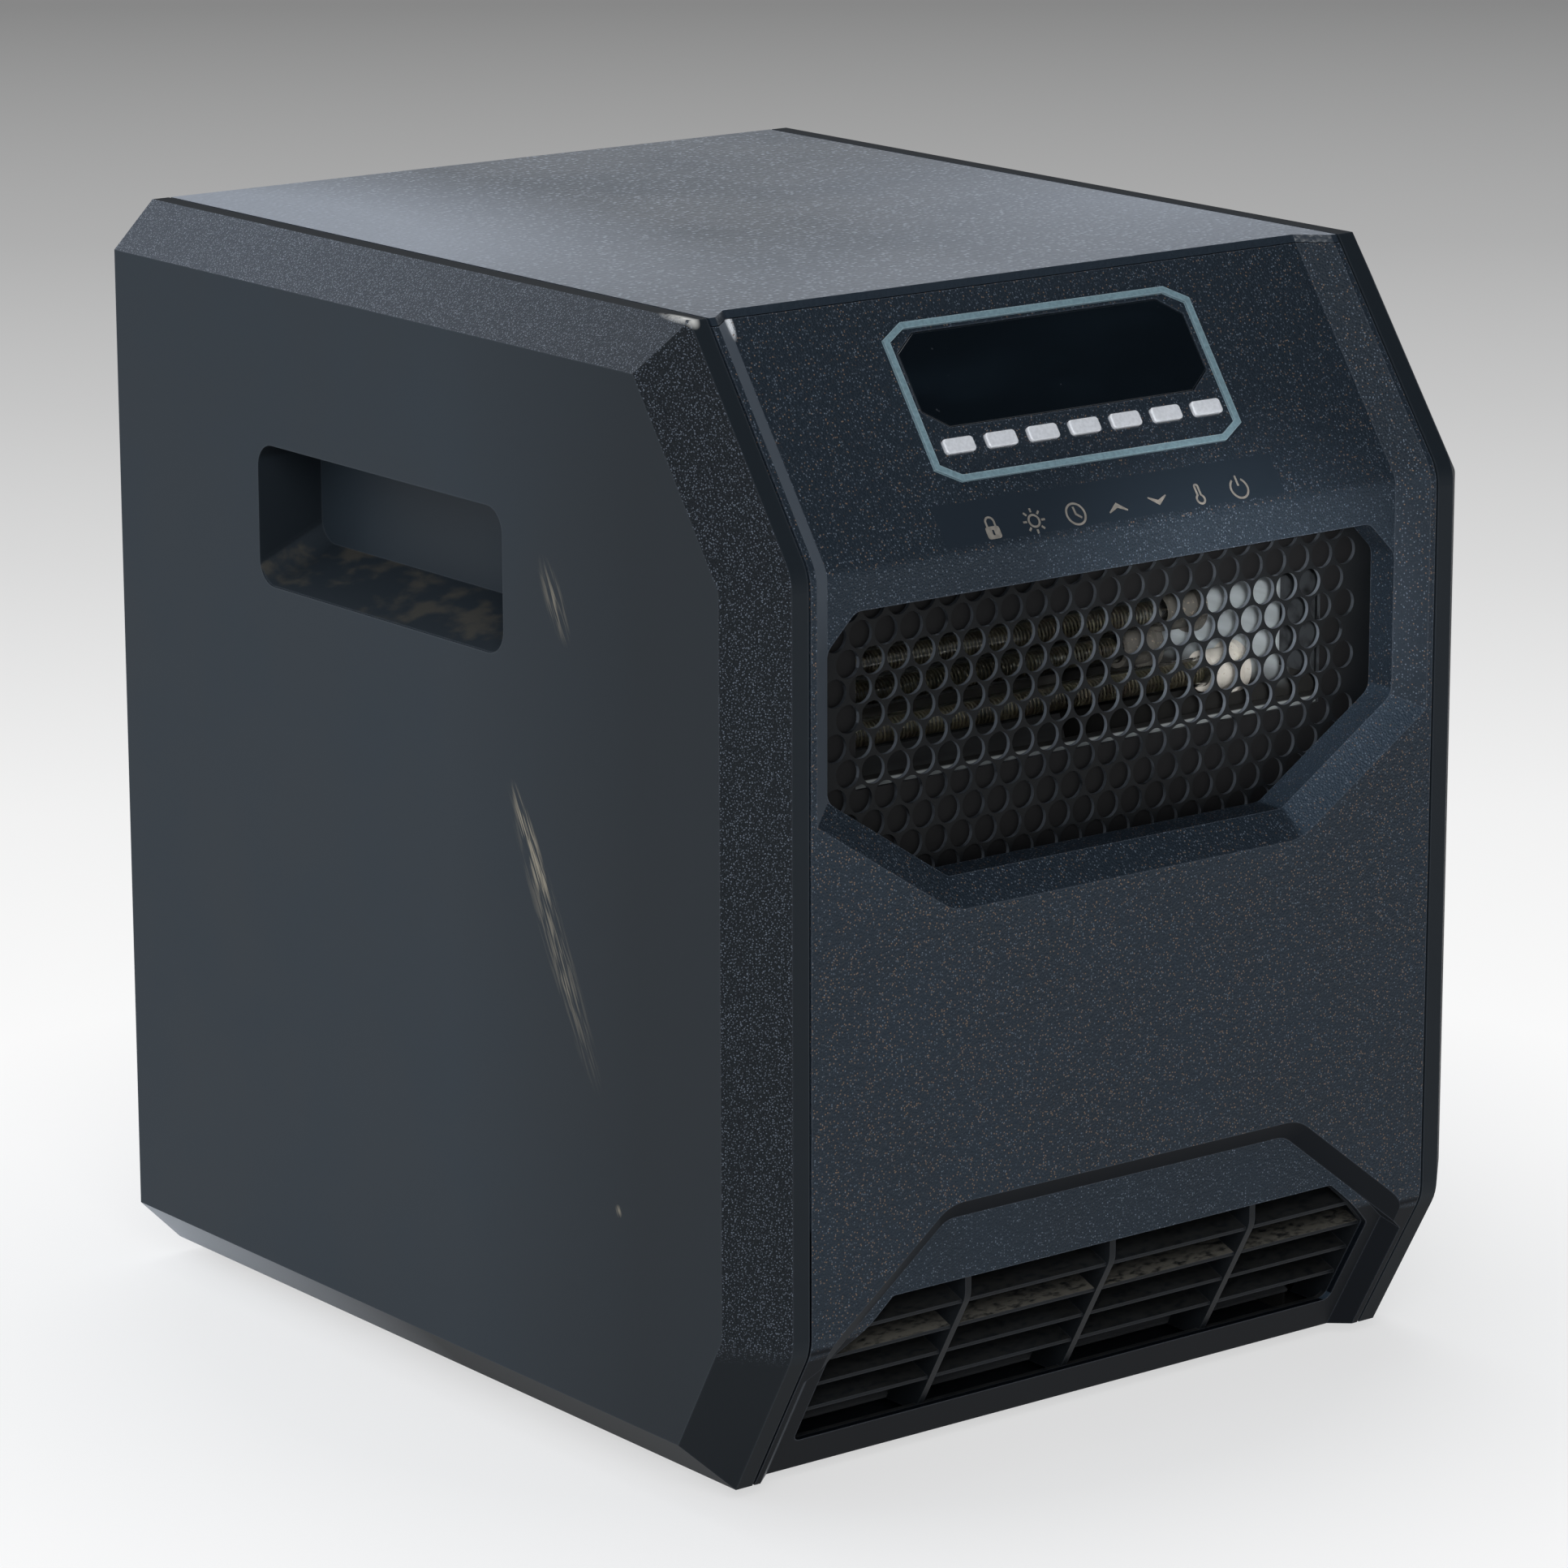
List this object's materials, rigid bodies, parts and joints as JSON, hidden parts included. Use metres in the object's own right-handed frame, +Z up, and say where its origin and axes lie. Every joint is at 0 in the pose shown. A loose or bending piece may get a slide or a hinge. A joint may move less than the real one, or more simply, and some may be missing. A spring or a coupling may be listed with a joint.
{
  "type": "quartz heater",
  "caption": "Cabinet heater with carrying grips in its sides, a perforated window over quartz tubes, a slanted display with push buttons and a slatted air outlet at the foot",
  "frame": {"origin": "on the floor, under the middle of the body", "axes": "+X to the heater's right as seen from its front, -Y out of the front, +Z up"},
  "size_m": [0.328, 0.384, 0.406],
  "materials": {
    "shell_plastic": "matte black, grained along the edges",
    "panel_plastic": "black with a fine sparkle",
    "rear_plastic": "matte black",
    "louvre_plastic": "matte black",
    "foot_rubber": "dull",
    "grille_steel": "satin black",
    "frame_steel": "heat-proof matte black",
    "ring_plastic": "slate, satin",
    "lens_plastic": "dark smoke, gloss",
    "button_plastic": "silver-white, satin",
    "board": "green lacquer",
    "component_plastic": "moulded",
    "terminal_plastic": "moulded",
    "capacitor_film": "sleeved",
    "chassis_steel": "bright zinc",
    "reflector_aluminium": "bright",
    "quartz": "clear",
    "coil_wire": "heat-dulled",
    "cap_ceramic": "unglazed, pale",
    "terminal_metal": "plain",
    "wheel_metal": "plain",
    "shaft_steel": "ground",
    "bush_brass": "plain",
    "motor_metal": "satin",
    "screw_steel": "zinc",
    "mesh_fabric": "open black mesh"
  },
  "bodies": {
    "cabinet": {"left_side_shell": "shell_plastic", "right_side_shell": "shell_plastic", "front_panel": "panel_plastic", "top_panel": "panel_plastic", "back_panel": "rear_plastic", "base_pan": "rear_plastic", "rocker_housing": "rear_plastic", "cord_gland": "rear_plastic", "outlet_louvre": "louvre_plastic", "rubber_feet": "foot_rubber", "perforated_grille": "grille_steel", "window_frame": "frame_steel", "bezel_ring": "ring_plastic", "display_lens": "lens_plastic", "control_board": "board", "power_board": "board", "tact_switches": "component_plastic", "display_module": "component_plastic", "relays": "component_plastic", "tip_over_switch": "component_plastic", "room_sensor": "component_plastic", "terminal_block": "terminal_plastic", "capacitor": "capacitor_film", "left_chassis_plate": "chassis_steel", "right_chassis_plate": "chassis_steel", "scroll_housing": "chassis_steel", "overheat_thermostat": "chassis_steel", "roof_reflector": "reflector_aluminium", "rear_reflector": "reflector_aluminium", "front_duct": "reflector_aluminium", "quartz_tubes": "quartz", "heating_coils": "coil_wire", "ceramic_caps": "cap_ceramic", "thermal_fuse": "cap_ceramic", "element_terminals": "terminal_metal", "element_links": "terminal_metal", "fan_bush": "bush_brass", "fan_motor": "motor_metal", "back_screws": "screw_steel", "base_screws": "screw_steel", "frame_screws": "screw_steel", "board_screws": "screw_steel", "chassis_screws": "screw_steel", "motor_screws": "screw_steel"},
    "lock_key": {"lock_button": "button_plastic"},
    "light_key": {"light_button": "button_plastic"},
    "timer_key": {"timer_button": "button_plastic"},
    "up_key": {"up_button": "button_plastic"},
    "down_key": {"down_button": "button_plastic"},
    "temperature_key": {"temperature_button": "button_plastic"},
    "power_key": {"power_button": "button_plastic"},
    "blower_rotor": {"crossflow_wheel": "wheel_metal", "fan_shaft": "shaft_steel"},
    "main_switch": {"rocker": "component_plastic"},
    "filter": {"filter_cassette": "rear_plastic", "filter_mesh": "mesh_fabric"}
  },
  "joints": [
    {"name": "lock_press", "type": "slide", "parent": "cabinet", "child": "lock_key", "axis": [0, 0.8162, -0.5777], "range_m": [0, 0.0008], "stiffness_N_per_m": 600},
    {"name": "light_press", "type": "slide", "parent": "cabinet", "child": "light_key", "axis": [0, 0.8162, -0.5777], "range_m": [0, 0.0008], "stiffness_N_per_m": 600},
    {"name": "timer_press", "type": "slide", "parent": "cabinet", "child": "timer_key", "axis": [0, 0.8162, -0.5777], "range_m": [0, 0.0008], "stiffness_N_per_m": 600},
    {"name": "up_press", "type": "slide", "parent": "cabinet", "child": "up_key", "axis": [0, 0.8162, -0.5777], "range_m": [0, 0.0008], "stiffness_N_per_m": 600},
    {"name": "down_press", "type": "slide", "parent": "cabinet", "child": "down_key", "axis": [0, 0.8162, -0.5777], "range_m": [0, 0.0008], "stiffness_N_per_m": 600},
    {"name": "temperature_press", "type": "slide", "parent": "cabinet", "child": "temperature_key", "axis": [0, 0.8162, -0.5777], "range_m": [0, 0.0008], "stiffness_N_per_m": 600},
    {"name": "power_press", "type": "slide", "parent": "cabinet", "child": "power_key", "axis": [0, 0.8162, -0.5777], "range_m": [0, 0.0008], "stiffness_N_per_m": 600},
    {"name": "blower_spin", "type": "hinge", "parent": "cabinet", "child": "blower_rotor", "pos_m": [0, -0.08, 0.106], "axis": [1, 0, 0], "continuous": true},
    {"name": "main_switch_rock", "type": "hinge", "parent": "cabinet", "child": "main_switch", "pos_m": [-0.028, 0.1826, 0.068], "axis": [-1, 0, 0], "range_deg": [0, 16]},
    {"name": "filter_pull", "type": "slide", "parent": "cabinet", "child": "filter", "axis": [0, 1, 0], "range_m": [0, 0.05]}
  ]
}
